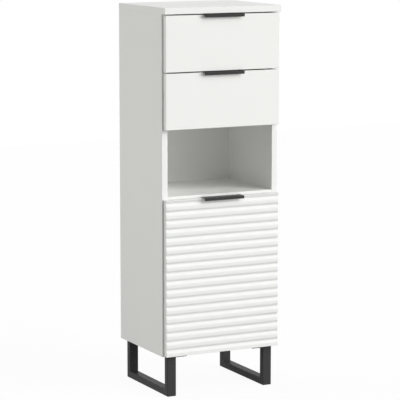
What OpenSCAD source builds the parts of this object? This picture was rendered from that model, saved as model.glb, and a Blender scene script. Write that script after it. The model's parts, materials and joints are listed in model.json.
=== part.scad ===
// Tall bathroom cabinet with two drawers, an open compartment, a wave-milled door and sled legs.
// Millimetres. Z is up and the front faces -Y. The origin is on the floor, under the middle of
// the overall width and depth.

/* [Body] */
// Width over the side panels
body_w = 400; // [340:5:600]
// Depth of the side panels
body_d = 311; // [300:1:400]
// Thickness of the side panels and of the boards between them
panel_t = 19; // [18:0.5:21.5]
// Thickness of the top plate
top_t = 20; // [19:1:28]
// How far the top plate stands proud of the fronts
top_proud = 4.4; // [0:0.2:8]
// Thickness of the back panel
back_t = 3; // [2.5:0.1:5]
// Distance from the rear edges to the groove of the back panel
back_inset = 20; // [10:1:24]
// Depth of the grooves that hold the back panel
groove_depth = 7; // [4:0.5:9]
// Clearance of a thin panel in its groove
groove_slack = 0.2; // [0.1:0.05:0.5]

/* [Compartments] */
// Height of the door
door_h = 489; // [440:1:600]
// Height of the door's lower edge above the underside of the body
door_foot = 2; // [0:0.5:6]
// How much of the fixed shelf's front edge shows above the door
shelf_reveal = 8.5; // [4:0.5:12]
// Clear height of the open compartment
niche_h = 207; // [150:1:300]
// Height of each drawer front
drawer_front_h = 172; // [160:1:260]

/* [Fronts] */
// Thickness of the drawer fronts and of the door
front_t = 18; // [17.5:0.5:22]
// Gap between the fronts and the body
front_clear = 2; // [1.9:0.1:3]
// How far the fronts stay inside the body's width on each side
front_inset = 5; // [4:0.5:7]
// Gap between two fronts, and between the upper front and the top plate
front_gap = 3.5; // [2.5:0.1:5]

/* [Wave door] */
// Number of waves milled across the door
wave_count = 18; // [12:1:24]
// Depth of a wave, crest to valley
wave_depth = 5.2; // [2:0.1:5.6]
// Flat margin between the outer crests and the edges of the door
wave_margin = 1.8; // [1:0.1:6]
// Share of a wave that falls from its crest to the valley below it
wave_fall = 0.47; // [0.35:0.01:0.6]
// How quickly the surface comes forward again below a valley
wave_rise_power = 2.5; // [1.5:0.1:4]

/* [Handles] */
// Width of each handle
handle_w = 136; // [90:1:200]
// Sheet thickness of the handles
handle_t = 1.5; // [1:0.1:1.6]
// How far a handle reaches in front of the fronts
handle_reach = 11.4; // [8:0.2:20]
// Height of the handle's lip
handle_lip_h = 9.5; // [7:0.5:14]
// Height of the tail behind the front that the handle is screwed by
handle_tail_h = 24; // [20:1:40]
// Outer radius of the handle's bends
handle_bend_r = 2.2; // [1.7:0.1:3]
// Distance from a handle's end to its screw
handle_screw_end = 20; // [10:1:30]
// Depth of a handle's screws below the upper edge of the front
handle_screw_drop = 14; // [8:1:16]

/* [Sled legs] */
// Height of the leg frames
frame_h = 128; // [80:1:200]
// Distance from the rear edge of the sides to the rear of the leg frames
frame_setback = 11; // [0:1:40]
// Distance from the body's side to the outer face of a leg frame
frame_inset = 17; // [5:1:40]
// Width of the leg tube
tube_w = 30; // [20:1:40]
// Height of the leg tube in the lower bar, and its depth in the uprights
tube_t = 21; // [16:1:30]
// Wall of the leg tube
tube_wall = 1.5; // [1:0.1:2.5]
// Thickness of the plates that carry the legs
leg_plate_t = 5; // [3:0.5:6]
// How far the leg plates reach inwards from the tube
leg_plate_reach = 38; // [30:1:60]
// Distance from a leg plate's end, and from the tube, to a screw
leg_screw_edge = 10; // [7:0.5:10]
// Diameter of the vent hole over each upright
vent_d = 10; // [6:1:12]
// Height of the floor glides under the leg frames
glide_h = 2; // [1.5:0.5:5]
// Diameter of the floor glides
glide_d = 14; // [10:1:18]
// Distance from a leg frame's end to its glide
glide_end = 25; // [15:1:60]

/* [Drawer boxes] */
// Thickness of the drawer sides and backs
box_t = 12; // [11:0.5:16]
// Height of the drawer sides
box_h = 112; // [80:1:125]
// Room between the drawer boxes and the back panel
box_back_room = 20; // [15:1:50]
// Height of the drawer sides above the lower edge of their front
box_rise = 28; // [26:1:34]
// Thickness of the drawer bottoms
box_bottom_t = 3; // [2.5:0.1:5]
// Height of the drawer bottoms above the lower edge of the sides
box_bottom_rise = 12; // [8:0.5:18]
// Depth of the grooves that hold the drawer bottoms
box_groove = 6; // [3:0.5:7]

/* [Drawer runners] */
// Room for a runner between a drawer side and a side panel
runner_gap = 12.5; // [12:0.1:14]
// Sheet thickness of the runners
rail_t = 1.2; // [1:0.1:1.4]
// Diameter of the rollers
roller_d = 13.4; // [12:0.1:14]
// Width of the rollers
roller_w = 5.4; // [4:0.1:6]
// Running clearance of the rollers in the runners
roller_clear = 0.3; // [0.2:0.05:0.5]
// Diameter of the roller axles
axle_d = 4; // [3:0.1:5]
// Distance from the end of a runner to its roller
roller_end = 12; // [10:0.5:16]
// Distance from the front edge of a side panel to its runner
rail_setback = 2; // [1:0.5:6]
// Depth of the running track below a drawer side's lower edge
track_drop = 4.8; // [4:0.1:6]
// Distance from a runner's end to its outer screws
rail_screw_end = 35; // [28:1:60]

/* [Door hinges] */
// Diameter of the hinge cups
cup_d = 35; // [34:0.5:36]
// Depth of the hinge cups
cup_depth = 11; // [11:0.1:11.4]
// Distance from the door's edge to a hinge cup
cup_edge = 3; // [2.8:0.1:3.6]
// Distance from the door's upper and lower edge to the middle of a hinge
hinge_end = 90; // [60:1:140]
// Diameter of the hinge pins
hinge_pin_d = 2.6; // [2:0.1:2.8]
// Radius of the eyes round the hinge pins
hinge_eye_r = 2.1; // [2:0.05:2.3]
// Width of the hinge links along their pins
link_w = 10.4; // [9.6:0.2:10.8]
// Sheet thickness of the hinge arms
arm_t = 1.2; // [1:0.1:1.5]

/* [Adjustable shelf] */
// Thickness of the adjustable shelf
inner_shelf_t = 16; // [12:1:19]
// Height of the adjustable shelf's underside above the floor panel
inner_shelf_rise = 225; // [150:1:280]
// Distance from the body's front edges to the adjustable shelf
inner_shelf_setback = 25; // [10:1:40]
// Clearance between the adjustable shelf and a side panel
inner_shelf_slack = 1; // [1:0.1:2]
// Diameter of the shelf pins
shelf_pin_d = 5; // [4:0.5:6]
// Distance from the front and back of the compartment to the shelf pins
shelf_pin_inset = 50; // [45:1:90]
// Spacing of the shelf pin holes
shelf_pin_step = 32; // [20:1:40]

/* [Fittings] */
// Diameter of the cam locks
cam_d = 15; // [12:0.5:18]
// Height of the cam locks
cam_h = 12.5; // [11.5:0.1:13]
// Distance from a board's end to the middle of its cam locks
cam_reach = 34; // [24:1:40]
// Diameter of the cam bolts
cam_bolt_d = 6; // [5:0.1:6.5]
// Distance from a board's front and rear edge to its cam locks
cam_inset = 40; // [35:1:60]
// Distance from a cam lock to the dowel beside it
dowel_step = 32; // [20:1:40]
// Diameter of the wooden dowels
dowel_d = 8; // [6:1:8]
// Length of the wooden dowels
dowel_len = 30; // [25:1:32]
// Diameter of the drawers' cam locks
box_cam_d = 12; // [11:0.5:14]
// Height of the drawers' cam locks
box_cam_h = 9.5; // [8.5:0.1:10]
// Clearance of a pin, screw or dowel in its hole, on the radius
fit = 0.05; // [0.03:0.01:0.1]

/* [Hidden] */

$fn = 48;
// Overshoot of a cut past the face that it opens
cut = 1;

// Body widths and depths
half_w = body_w / 2;
inner_x = half_w - panel_t;
front_half_w = half_w - front_inset;
front_y = (front_clear + front_t + handle_reach - body_d) / 2;
rear_y = front_y + body_d;
back_y = rear_y - back_inset - back_t;
door_back_y = front_y - front_clear;
face_y = door_back_y - front_t;

// Heights, from the floor up
body_z = glide_h + frame_h;
door_z = body_z + door_foot;
door_top = door_z + door_h;
niche_z = door_top + shelf_reveal;
divider_z = niche_z + niche_h;
lower_z = divider_z;
upper_z = lower_z + drawer_front_h + front_gap;
top_z = upper_z + drawer_front_h + front_gap;
body_top = top_z + top_t;
shelf_z = niche_z - panel_t;
pin_shelf_z = body_z + panel_t + inner_shelf_rise;

// Joints between the boards and the side panels
cam_ys = [front_y + cam_inset, back_y - cam_inset];
dowel_ys = [front_y + cam_inset + dowel_step, back_y - cam_inset - dowel_step];
board_zs = [body_z, shelf_z, divider_z];
side_mid_x = inner_x + panel_t / 2;
bolt_grip = 11;
bolt_shaft_d = cam_bolt_d - 1.5;
bolt_head_d = cam_bolt_d + 0.6;
bolt_head_t = 2;
bolt_way_d = cam_bolt_d + 1.2;
cam_floor = 0.5;
dowel_grip = 12;
dowel_rest = dowel_len - dowel_grip;

// Drawer boxes
box_x = inner_x - runner_gap;
box_inner_x = box_x - box_t;
box_mid_x = box_x - box_t / 2;
box_end_y = back_y - box_back_room;
box_cam_reach = 24;
box_cam_ws = [0.3 * box_h, 0.75 * box_h];
back_screw_ws = [0.35 * box_h, 0.8 * box_h];
back_screw_d = 5;
back_screw_head_d = 8;
back_screw_len = 40;

// Runners, measured inwards from a side panel and up from a drawer side's lower edge
rail_y = front_y + rail_setback;
rail_len = box_end_y - rail_y;
roller_r = roller_d / 2;
roller_u = (runner_gap - roller_w) / 2;
axle_w = roller_r + roller_clear - track_drop;
hook_w = axle_w + roller_r + roller_clear;
lid_w = hook_w + rail_t + 2 * roller_clear;
hook_u = roller_u - 0.4;
track_u = runner_gap - rail_t - 0.7;
lid_u = 8;
foot_u = runner_gap + 10;
axle_play = 0.2;
axle_head_t = 0.8;
axle_head_d = axle_d + 2;
rail_screw_d = 3.5;
rail_screw_head_d = rail_screw_d + 2 * rail_t;
rail_screw_len = rail_t + 10;
rail_screw_w = 4.6;
rail_screw_ys = [rail_y + rail_screw_end, rail_y + rail_len / 2,
    rail_y + rail_len - rail_screw_end];

// Handles
handle_screw_d = 3;
handle_screw_head_d = handle_screw_d + 2 * handle_t;
handle_screw_len = handle_t + 10;
handle_screw_x = handle_w / 2 - handle_screw_end;

// Leg frames
leg_x1 = half_w - frame_inset;
leg_x0 = leg_x1 - tube_w;
leg_y1 = rear_y - frame_setback;
leg_plate_z = body_z - leg_plate_t;
leg_plate_ys = [front_y, leg_y1 - tube_t];
leg_screw_xs = [leg_x0 - leg_screw_edge, leg_x0 - leg_plate_reach + leg_screw_edge];
leg_screw_d = 4.5;
leg_screw_head_d = 8;
leg_screw_head_t = 2.4;
leg_screw_grip = panel_t - groove_depth - 2;
glide_ys = [front_y + glide_end, leg_y1 - glide_end];
glide_stem_d = 6;
glide_stem_h = tube_wall + 5;

// Hinges, measured outwards from a side panel's inner face and back from the body's front
cup_x = front_half_w - inner_x - cup_edge - cup_d / 2;
cup_wall = 0.8;
cup_flange_t = 1;
cup_flange_d = cup_d + 3;
cup_pocket_r = cup_d / 2 - cup_wall;
cup_pocket_half_w = 8.2;
cup_notch_depth = 1;
cup_wing_z = 29;
cup_screw_x = cup_x - 9.5;
cup_screw_z = 22.5;
cup_screw_d = 3.5;
hinge_zs = [door_z + hinge_end, door_top - hinge_end];
pin_a = [cup_x - 13, -front_clear - 7.5];
pin_b = [cup_x + 12, -front_clear - 7.5];
pin_c = [cup_x - 12, 7.5 - front_clear];
pin_d = [cup_x + 12, -front_clear - 1.6];
link_bar = 2.4;
// The inner link's bar passes between the two bars of the outer link
link_core_w = 4.8;
link_side_gap = 0.3;
// How far the outer link ends short of its cup pin, where the linkage is left open
link_open = 3.6;
cheek_in = link_w / 2 + 0.2;
cheek_out = cheek_in + arm_t;
ridge_half_w = link_w / 2;
ridge_x = -11;
base_x = -3;
arm_y0 = 14;
arm_y1 = 62;
plate_y = 37;
plate_y0 = 18;
plate_y1 = 58;
plate_half_z = 9;
plate_wing_y = 7;
plate_wing_z = 24;
plate_screw_z = 16;
plate_screw_d = 4;
plate_screw_head_d = 8;
plate_screw_len = 14;

// Adjustable shelf
shelf_pin_ys = [front_y + shelf_pin_inset, back_y - shelf_pin_inset];
shelf_pin_z = pin_shelf_z - shelf_pin_d / 2;
shelf_pin_grip = 9;
shelf_pin_out = 8;
shelf_pin_collar_t = 0.8;

// One solid and its mirror image on the other side of the cabinet
module pair() {
    children();
    mirror([1, 0, 0]) children();
}

// A box between two corners
module block(low, high) {
    translate(low) cube(high - low);
}

// A rectangle between two corners
module sheet(low, high) {
    translate(low) square(high - low);
}

// Round bars that start at a point and run along +X, +Y or +Z
module bar_x(at, d, len) {
    translate(at) rotate([0, 90, 0]) cylinder(d = d, h = len);
}

module bar_y(at, d, len) {
    translate(at) rotate([-90, 0, 0]) cylinder(d = d, h = len);
}

module bar_z(at, d, len) {
    translate(at) cylinder(d = d, h = len);
}

// A profile drawn in Y and Z, drawn out along X between two places
module profile_x(x0, x1) {
    translate([x0, 0, 0]) rotate([90, 0, 90]) linear_extrude(x1 - x0) children();
}

// A profile drawn in X and Z, drawn out along Y between two places
module profile_y(y0, y1) {
    translate([0, y1, 0]) rotate([90, 0, 0]) linear_extrude(y1 - y0) children();
}

// A cross recess in a face at Z = 0 whose body is above
module cross_recess(size, depth) {
    width = size / 4;
    translate([-size / 2, -width / 2, -cut]) cube([size, width, depth + cut]);
    translate([-width / 2, -size / 2, -cut]) cube([width, size, depth + cut]);
}

// A countersunk screw that starts at Z = 0 and runs along +Z
module sunk_screw(d, head_d, len) {
    head_t = (head_d - d) / 2;
    difference() {
        union() {
            cylinder(d1 = head_d, d2 = d, h = head_t);
            cylinder(d = d, h = len);
        }
        cross_recess(0.5 * head_d, 0.8 * head_t);
    }
}

module sunk_hole(d, head_d, len) {
    translate([0, 0, -cut]) cylinder(d = head_d + 2 * fit, h = cut);
    cylinder(d1 = head_d + 2 * fit, d2 = d + 2 * fit, h = (head_d - d) / 2);
    cylinder(d = d + 2 * fit, h = len);
}

// A cam lock whose face is at Z = 0, with its body below and its mouth towards +X
module cam_lock(d, h, axis_depth) {
    difference() {
        bar_z([0, 0, -h], d - 2 * fit, h);
        bar_x([-cam_bolt_d / 2, 0, -axis_depth], bolt_way_d,
            cam_bolt_d / 2 + bolt_head_t / 2 + fit);
        bar_x([0, 0, -axis_depth], bolt_shaft_d + 0.8, d);
        mirror([0, 0, 1]) cross_recess(0.5 * d, 1.5);
    }
}

// A cam bolt along X: its thread grips the board at X > 0, its head sits in a cam at -reach
module cam_bolt(reach) {
    bar_x([0, 0, 0], cam_bolt_d, bolt_grip);
    bar_x([-reach, 0, 0], bolt_shaft_d, reach);
    bar_x([-reach - bolt_head_t / 2, 0, 0], bolt_head_d, bolt_head_t);
}

// A wooden dowel along X: its grip ends at X = dowel_grip
module dowel() {
    chamfer = 1;
    body = dowel_len - 2 * chamfer;
    translate([-dowel_rest, 0, 0]) rotate([0, 90, 0]) {
        cylinder(d1 = dowel_d - 2 * chamfer, d2 = dowel_d, h = chamfer);
        translate([0, 0, chamfer]) cylinder(d = dowel_d, h = body);
        translate([0, 0, chamfer + body])
            cylinder(d1 = dowel_d, d2 = dowel_d - 2 * chamfer, h = chamfer);
    }
}

// A board between the right and the left side panel, with its cams on the upper or lower face
module carcass_board(z, cams_up, depth_y) {
    mid = z + panel_t / 2;
    pocket_h = cam_h + cam_floor + cut;
    pocket_z = cams_up ? z + panel_t - cam_h - cam_floor : z - cut;
    difference() {
        block([-inner_x, front_y, z], [inner_x, depth_y, z + panel_t]);
        pair() {
            for (y = cam_ys) {
                bar_z([inner_x - cam_reach, y, pocket_z], cam_d, pocket_h);
                bar_x([inner_x - cam_reach, y, mid], bolt_way_d, cam_reach + cut);
            }
            for (y = dowel_ys)
                bar_x([inner_x - dowel_rest - 1, y, mid], dowel_d + 2 * fit, dowel_rest + 1 + cut);
        }
    }
}

module floor_panel() {
    color([0.93, 0.93, 0.92]) difference() {
        carcass_board(body_z, false, rear_y);
        block([-inner_x - cut, back_y, body_z + panel_t - groove_depth],
            [inner_x + cut, back_y + back_t + groove_slack, body_z + panel_t + cut]);
        pair() for (x = leg_screw_xs)
            for (y = leg_plate_ys)
                bar_z([x, y + tube_t / 2, body_z - cut], leg_screw_d + 2 * fit,
                    leg_screw_grip + cut);
    }
}

module niche_shelf() {
    color([0.93, 0.93, 0.92]) carcass_board(shelf_z, false, back_y);
}

module divider_panel() {
    color([0.93, 0.93, 0.92]) carcass_board(divider_z, true, back_y);
}

module top_plate() {
    color([0.95, 0.95, 0.94]) difference() {
        block([-half_w, face_y - top_proud, top_z], [half_w, rear_y, body_top]);
        block([-inner_x - groove_depth, back_y, top_z - cut],
            [inner_x + groove_depth, back_y + back_t + groove_slack, top_z + groove_depth]);
        pair() {
            for (y = cam_ys)
                bar_z([side_mid_x, y, top_z - cut], cam_bolt_d + 2 * fit, bolt_grip + cut);
            for (y = dowel_ys)
                bar_z([side_mid_x, y, top_z - cut], dowel_d + 2 * fit, dowel_grip + cut);
        }
    }
}

// The right side panel without the holes of the hinges
module side_panel() {
    groove_z = body_z + panel_t - groove_depth;
    difference() {
        block([inner_x, front_y, body_z], [half_w, rear_y, top_z]);
        block([inner_x - cut, back_y, groove_z],
            [inner_x + groove_depth, back_y + back_t + groove_slack, top_z + cut]);
        for (z = board_zs) {
            for (y = cam_ys)
                bar_x([inner_x - cut, y, z + panel_t / 2], cam_bolt_d + 2 * fit, bolt_grip + cut);
            for (y = dowel_ys)
                bar_x([inner_x - cut, y, z + panel_t / 2], dowel_d + 2 * fit, dowel_grip + cut);
        }
        for (y = cam_ys) {
            bar_x([inner_x - cut, y, top_z - cam_reach], cam_d, cam_h + cam_floor + cut);
            bar_z([side_mid_x, y, top_z - cam_reach], bolt_way_d, cam_reach + cut);
        }
        for (y = dowel_ys)
            bar_z([side_mid_x, y, top_z - dowel_rest - 1], dowel_d + 2 * fit,
                dowel_rest + 1 + cut);
        for (y = shelf_pin_ys)
            for (row = [-1, 0, 1])
                bar_x([inner_x - cut, y, shelf_pin_z + row * shelf_pin_step],
                    shelf_pin_d + 2 * fit, shelf_pin_grip + cut);
        for (z = [lower_z, upper_z])
            for (y = rail_screw_ys)
                bar_x([inner_x - cut, y, z + box_rise + rail_screw_w], rail_screw_d + 2 * fit,
                    rail_screw_len - rail_t + cut);
    }
}

module side_panel_left() {
    color([0.9, 0.9, 0.89]) mirror([1, 0, 0]) side_panel();
}

module side_panel_right() {
    color([0.9, 0.9, 0.89]) difference() {
        side_panel();
        for (z = hinge_zs)
            for (s = [-1, 1])
                bar_x([inner_x - cut, front_y + plate_y, z + s * plate_screw_z],
                    plate_screw_d + 2 * fit, plate_screw_len + base_x + cut);
    }
}

module back_panel() {
    reach = groove_depth - groove_slack;
    color([0.88, 0.88, 0.87])
        block([-inner_x - reach, back_y, body_z + panel_t - reach],
            [inner_x + reach, back_y + back_t, top_z + reach]);
}

module body_cam() {
    cam_lock(cam_d, cam_h, panel_t / 2);
}

module cam_locks() {
    color([0.75, 0.75, 0.76]) pair() for (y = cam_ys) {
        for (z = [body_z, shelf_z])
            translate([inner_x - cam_reach, y, z]) rotate([180, 0, 0]) body_cam();
        translate([inner_x - cam_reach, y, divider_z + panel_t]) body_cam();
        translate([inner_x, y, top_z - cam_reach]) rotate([0, -90, 0]) body_cam();
    }
}

module cam_bolts() {
    color([0.7, 0.7, 0.72]) pair() for (y = cam_ys) {
        for (z = board_zs) translate([inner_x, y, z + panel_t / 2]) cam_bolt(cam_reach);
        translate([side_mid_x, y, top_z]) rotate([0, -90, 0]) cam_bolt(cam_reach);
    }
}

module wood_dowels() {
    color([0.8, 0.65, 0.45]) pair() for (y = dowel_ys) {
        for (z = board_zs) translate([inner_x, y, z + panel_t / 2]) dowel();
        translate([side_mid_x, y, top_z]) rotate([0, -90, 0]) dowel();
    }
}

// Adjustable shelf on its pins
module inner_shelf() {
    x = inner_x - inner_shelf_slack;
    color([0.93, 0.93, 0.92])
        block([-x, front_y + inner_shelf_setback, pin_shelf_z],
            [x, back_y - 2, pin_shelf_z + inner_shelf_t]);
}

module shelf_pins() {
    color([0.75, 0.75, 0.76]) pair() for (y = shelf_pin_ys) {
        bar_x([inner_x - shelf_pin_out, y, shelf_pin_z], shelf_pin_d,
            shelf_pin_out + shelf_pin_grip);
        difference() {
            bar_x([inner_x - shelf_pin_collar_t, y, shelf_pin_z], shelf_pin_d + 3,
                shelf_pin_collar_t);
            block([inner_x - shelf_pin_out, y - shelf_pin_d, pin_shelf_z],
                [inner_x + cut, y + shelf_pin_d, pin_shelf_z + 3]);
        }
    }
}

// Sled legs: a U of rectangular tube under two plates
module leg_frame() {
    difference() {
        union() {
            difference() {
                block([leg_x0, front_y, glide_h], [leg_x1, leg_y1, leg_plate_z]);
                block([leg_x0 - cut, front_y + tube_t, glide_h + tube_t],
                    [leg_x1 + cut, leg_y1 - tube_t, leg_plate_z + cut]);
            }
            for (y = leg_plate_ys)
                block([leg_x0 - leg_plate_reach, y, leg_plate_z], [leg_x1, y + tube_t, body_z]);
        }
        difference() {
            block([leg_x0 + tube_wall, front_y + tube_wall, glide_h + tube_wall],
                [leg_x1 - tube_wall, leg_y1 - tube_wall, leg_plate_z]);
            block([leg_x0, front_y + tube_t - tube_wall, glide_h + tube_t - tube_wall],
                [leg_x1, leg_y1 - tube_t + tube_wall, leg_plate_z + cut]);
        }
        for (y = leg_plate_ys) {
            bar_z([(leg_x0 + leg_x1) / 2, y + tube_t / 2, leg_plate_z - cut], vent_d,
                leg_plate_t + 2 * cut);
            for (x = leg_screw_xs)
                bar_z([x, y + tube_t / 2, leg_plate_z - cut], leg_screw_d + 2 * fit,
                    leg_plate_t + 2 * cut);
        }
        for (y = glide_ys)
            bar_z([(leg_x0 + leg_x1) / 2, y, glide_h - cut], glide_stem_d + 2 * fit,
                tube_wall + 2 * cut);
    }
}

module leg_frame_left() {
    color([0.16, 0.16, 0.17]) mirror([1, 0, 0]) leg_frame();
}

module leg_frame_right() {
    color([0.16, 0.16, 0.17]) leg_frame();
}

module leg_screws() {
    color([0.7, 0.7, 0.72]) pair() for (x = leg_screw_xs)
        for (y = leg_plate_ys)
            translate([x, y + tube_t / 2, leg_plate_z]) {
                cylinder(d = leg_screw_d, h = leg_plate_t + leg_screw_grip);
                difference() {
                    bar_z([0, 0, -leg_screw_head_t], leg_screw_head_d, leg_screw_head_t);
                    translate([0, 0, -leg_screw_head_t]) cross_recess(4, 1.4);
                }
            }
}

module floor_glides() {
    color([0.2, 0.2, 0.2]) pair() for (y = glide_ys) {
        bar_z([(leg_x0 + leg_x1) / 2, y, 0], glide_d, glide_h);
        bar_z([(leg_x0 + leg_x1) / 2, y, 0], glide_stem_d, glide_h + glide_stem_h);
    }
}

// The runner of the right side panel, with the axle of its fixed roller
module cabinet_rail(z) {
    axle_y = rail_y + roller_end;
    difference() {
        union() {
            profile_y(rail_y, rail_y + rail_len) {
                sheet([inner_x - rail_t, z - track_drop - rail_t],
                    [inner_x, z + lid_w + rail_t]);
                sheet([inner_x - track_u, z - track_drop - rail_t], [inner_x, z - track_drop]);
                sheet([inner_x - lid_u, z + lid_w], [inner_x, z + lid_w + rail_t]);
            }
            translate([inner_x, axle_y, z + axle_w]) rotate([0, -90, 0]) {
                cylinder(d = axle_head_d, h = roller_u - axle_play);
                cylinder(d = axle_d, h = roller_u + roller_w + axle_play);
                translate([0, 0, roller_u + roller_w + axle_play])
                    cylinder(d = axle_head_d, h = axle_head_t);
            }
        }
        for (y = rail_screw_ys)
            translate([inner_x - rail_t, y, z + rail_screw_w]) rotate([0, 90, 0])
                sunk_hole(rail_screw_d, rail_screw_head_d, rail_screw_len);
    }
}

module upper_rail_right() {
    color([0.85, 0.85, 0.85]) cabinet_rail(upper_z + box_rise);
}

module upper_rail_left() {
    color([0.85, 0.85, 0.85]) mirror([1, 0, 0]) cabinet_rail(upper_z + box_rise);
}

module lower_rail_right() {
    color([0.85, 0.85, 0.85]) cabinet_rail(lower_z + box_rise);
}

module lower_rail_left() {
    color([0.85, 0.85, 0.85]) mirror([1, 0, 0]) cabinet_rail(lower_z + box_rise);
}

module rail_screws() {
    color([0.7, 0.7, 0.72]) pair() for (z = [lower_z, upper_z])
        for (y = rail_screw_ys)
            translate([inner_x - rail_t, y, z + box_rise + rail_screw_w]) rotate([0, 90, 0])
                sunk_screw(rail_screw_d, rail_screw_head_d, rail_screw_len);
}

// A pair of rollers on one line
module rollers(y, z) {
    rim = 1.6;
    color([0.93, 0.93, 0.93]) pair() translate([inner_x - roller_u - roller_w, y, z + axle_w])
        rotate([0, 90, 0]) difference() {
            cylinder(d = roller_d, h = roller_w);
            translate([0, 0, -cut]) cylinder(d = axle_d + 2 * fit, h = roller_w + 2 * cut);
            for (face = [-cut, roller_w - 0.8])
                translate([0, 0, face]) difference() {
                    cylinder(d = roller_d - 2 * rim, h = 0.8 + cut);
                    cylinder(d = axle_d + 2.4, h = 0.8 + cut);
                }
        }
}

module upper_front_rollers() rollers(rail_y + roller_end, upper_z + box_rise);

module lower_front_rollers() rollers(rail_y + roller_end, lower_z + box_rise);

module upper_rear_rollers() rollers(box_end_y - roller_end, upper_z + box_rise);

module lower_rear_rollers() rollers(box_end_y - roller_end, lower_z + box_rise);

// A pressed edge-pull handle that hooks over the upper edge of a front
module handle(top) {
    lip_y = face_y - handle_reach;
    tail_y = door_back_y + handle_t;
    upper = top + handle_t;
    r = handle_bend_r;
    color([0.16, 0.16, 0.17]) difference() {
        profile_x(-handle_w / 2, handle_w / 2) {
            sheet([lip_y, upper - handle_lip_h], [lip_y + handle_t, upper - r]);
            sheet([lip_y + r, top], [tail_y - r, upper]);
            sheet([door_back_y, top - handle_tail_h], [tail_y, upper - r]);
            intersection() {
                difference() {
                    translate([lip_y + r, upper - r]) circle(r = r);
                    translate([lip_y + r, upper - r]) circle(r = r - handle_t);
                }
                sheet([lip_y, upper - r], [lip_y + r, upper]);
            }
            difference() {
                intersection() {
                    translate([tail_y - r, upper - r]) circle(r = r);
                    sheet([tail_y - r, upper - r], [tail_y, upper]);
                }
                sheet([door_back_y - r, top - r], [door_back_y, top]);
            }
        }
        pair() translate([handle_screw_x, tail_y, top - handle_screw_drop]) rotate([90, 0, 0])
            sunk_hole(handle_screw_d, handle_screw_head_d, handle_screw_len);
    }
}

module handle_screws(top) {
    pair() translate([handle_screw_x, door_back_y + handle_t, top - handle_screw_drop])
        rotate([90, 0, 0]) sunk_screw(handle_screw_d, handle_screw_head_d, handle_screw_len);
}

module handle_screw_holes(top) {
    pair() translate([handle_screw_x, door_back_y + handle_t, top - handle_screw_drop])
        rotate([90, 0, 0]) sunk_hole(handle_screw_d, handle_screw_head_d, handle_screw_len);
}

// Drawer boxes, each drawn from the lower edge of its front
module drawer_front(z) {
    box_z = z + box_rise;
    bottom_x = box_inner_x + box_groove;
    color([0.96, 0.96, 0.95]) difference() {
        block([-front_half_w, face_y, z], [front_half_w, door_back_y, z + drawer_front_h]);
        block([-bottom_x, door_back_y - box_groove, box_z + box_bottom_rise],
            [bottom_x, door_back_y + cut, box_z + box_bottom_rise + box_bottom_t + groove_slack]);
        pair() for (w = box_cam_ws)
            bar_y([box_mid_x, door_back_y - bolt_grip, box_z + w], cam_bolt_d + 2 * fit,
                bolt_grip + cut);
        handle_screw_holes(z + drawer_front_h);
    }
}

module drawer_side(z) {
    box_z = z + box_rise;
    color([0.9, 0.9, 0.89]) difference() {
        block([box_inner_x, door_back_y, box_z], [box_x, box_end_y, box_z + box_h]);
        block([box_inner_x - cut, door_back_y - cut, box_z + box_bottom_rise],
            [box_inner_x + box_groove, box_end_y + cut,
                box_z + box_bottom_rise + box_bottom_t + groove_slack]);
        for (w = box_cam_ws) {
            bar_x([box_inner_x - cut, door_back_y + box_cam_reach, box_z + w], box_cam_d,
                box_cam_h + cam_floor + cut);
            bar_y([box_mid_x, door_back_y - cut, box_z + w], bolt_way_d, box_cam_reach + cut);
        }
        for (w = back_screw_ws)
            translate([box_x, box_end_y - box_t / 2, box_z + w]) rotate([0, -90, 0])
                sunk_hole(back_screw_d, back_screw_head_d, back_screw_len);
        drawer_rail_screw_places(z) sunk_hole(rail_screw_d, rail_screw_head_d, rail_screw_len);
    }
}

module drawer_back(z) {
    box_z = z + box_rise;
    color([0.9, 0.9, 0.89]) difference() {
        block([-box_inner_x, box_end_y - box_t,
                box_z + box_bottom_rise + box_bottom_t + groove_slack],
            [box_inner_x, box_end_y, box_z + box_h]);
        pair() for (w = back_screw_ws)
            translate([box_x, box_end_y - box_t / 2, box_z + w]) rotate([0, -90, 0])
                sunk_hole(back_screw_d, back_screw_head_d, back_screw_len);
    }
}

module drawer_bottom(z) {
    bottom_z = z + box_rise + box_bottom_rise;
    bottom_x = box_inner_x + box_groove - groove_slack;
    color([0.88, 0.88, 0.87])
        block([-bottom_x, door_back_y - box_groove + groove_slack, bottom_z],
            [bottom_x, box_end_y, bottom_z + box_bottom_t]);
}

// The places of the screws that hold a drawer rail to the right drawer side
module drawer_rail_screw_places(z) {
    for (y = [door_back_y + rail_screw_end, (door_back_y + box_end_y) / 2,
            box_end_y - rail_screw_end])
        translate([box_x + rail_t, y, z + box_rise + rail_screw_w]) rotate([0, -90, 0])
            children();
}

// The pair of rails on a drawer, with the axles of the rollers that travel with it
module drawer_rails(z) {
    box_z = z + box_rise;
    color([0.85, 0.85, 0.85]) pair() difference() {
        union() {
            profile_y(door_back_y, box_end_y) {
                sheet([box_x, box_z - rail_t], [box_x + rail_t, box_z + hook_w + rail_t]);
                sheet([box_x, box_z + hook_w], [inner_x - hook_u, box_z + hook_w + rail_t]);
                sheet([inner_x - foot_u, box_z - rail_t], [box_x + rail_t, box_z]);
            }
            translate([box_x, box_end_y - roller_end, box_z + axle_w]) rotate([0, 90, 0]) {
                cylinder(d = axle_head_d, h = roller_u - axle_play);
                cylinder(d = axle_d, h = roller_u + roller_w + axle_play);
                translate([0, 0, roller_u + roller_w + axle_play])
                    cylinder(d = axle_head_d, h = axle_head_t);
            }
        }
        drawer_rail_screw_places(z) sunk_hole(rail_screw_d, rail_screw_head_d, rail_screw_len);
    }
}

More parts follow.
